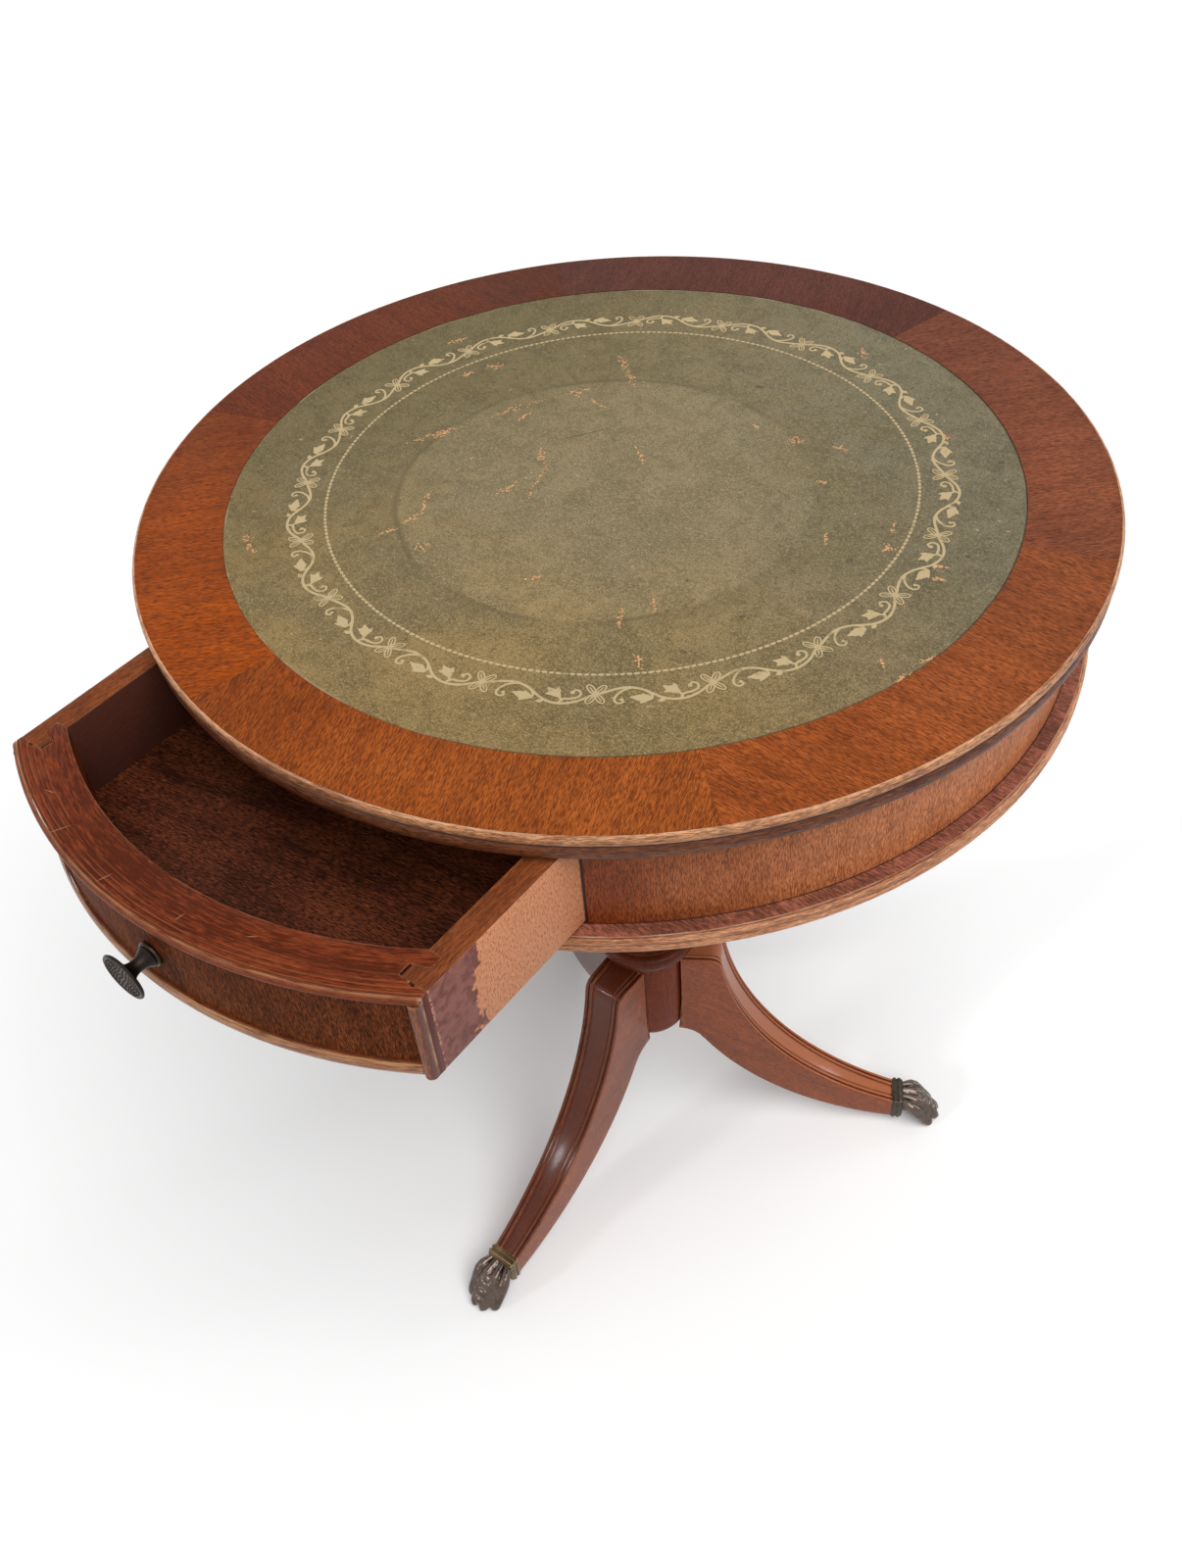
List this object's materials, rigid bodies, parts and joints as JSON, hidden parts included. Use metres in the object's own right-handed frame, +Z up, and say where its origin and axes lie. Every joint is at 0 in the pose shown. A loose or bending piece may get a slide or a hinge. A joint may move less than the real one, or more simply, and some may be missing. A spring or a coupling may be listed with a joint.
{
  "type": "drum table",
  "caption": "Round drum table with a leather-lined top, a bow-fronted drawer, and a turned column on sabre legs with paw caps.",
  "frame": {"origin": "on the floor, on the axis of the column", "axes": "+Z up; -Y is the way the drawer pulls out; +X is to the right of someone who faces +Y, towards the back of the table"},
  "size_m": [0.61, 0.7279, 0.713],
  "materials": {
    "crossband_mahogany": "satin polish over veneer",
    "edge_mahogany": "satin polish, worn bright on the reeds",
    "green_leather": "dull, tooled border in faded gilt",
    "frieze_mahogany": "satin polish over upright veneer",
    "core_wood": "bare, aged",
    "drawer_mahogany": "satin polish",
    "bead_mahogany": "satin polish, worn",
    "drawer_lining": "bare outside, stained near the front",
    "drawer_floor": "dark stain, open grain",
    "leg_mahogany": "gloss polish",
    "knob_brass": "antique dark, stippled face",
    "cap_brass": "antique dark, rubbed on the ridges",
    "steel_screw": "dull"
  },
  "bodies": {
    "table": {"top_board": "core_wood", "top_edge_moulding": "edge_mahogany", "leather_inset": "green_leather", "crossband_1": "crossband_mahogany", "crossband_2": "crossband_mahogany", "crossband_3": "crossband_mahogany", "crossband_4": "crossband_mahogany", "crossband_5": "crossband_mahogany", "crossband_6": "crossband_mahogany", "frieze_rear": "core_wood", "frieze_right": "core_wood", "frieze_left": "core_wood", "frieze_veneer": "frieze_mahogany", "opening_stile_right": "frieze_mahogany", "opening_stile_left": "frieze_mahogany", "base_board": "core_wood", "base_moulding": "edge_mahogany", "drawer_guide_right": "core_wood", "drawer_guide_left": "core_wood", "kicker_right": "core_wood", "kicker_left": "core_wood", "stop_rail": "core_wood", "drawer_stops": "core_wood", "top_glue_blocks": "core_wood", "base_glue_blocks": "core_wood", "mounting_block": "leg_mahogany", "block_screws": "steel_screw", "column": "leg_mahogany", "column_ring": "leg_mahogany", "hub": "leg_mahogany", "leg_plate": "steel_screw", "leg_plate_screws": "steel_screw", "leg_front": "leg_mahogany", "leg_right": "leg_mahogany", "leg_left": "leg_mahogany", "paw_cap_front": "cap_brass", "paw_cap_right": "cap_brass", "paw_cap_left": "cap_brass", "cap_pins": "steel_screw"},
    "drawer": {"drawer_front": "drawer_mahogany", "drawer_front_veneer": "frieze_mahogany", "cock_bead_bottom": "bead_mahogany", "cock_bead_top": "drawer_mahogany", "cock_bead_right": "bead_mahogany", "cock_bead_left": "bead_mahogany", "drawer_side_right": "drawer_lining", "drawer_side_left": "drawer_lining", "drawer_back": "drawer_lining", "drawer_bottom": "drawer_floor", "drawer_bottom_screws": "steel_screw", "knob_rose": "knob_brass", "knob": "knob_brass", "knob_bolt": "steel_screw", "knob_washer": "steel_screw", "knob_nut": "steel_screw"}
  },
  "joints": [
    {"name": "drawer_slide", "type": "slide", "parent": "table", "child": "drawer", "axis": [0, -1, 0], "range_m": [-0.1183, 0.1]}
  ]
}
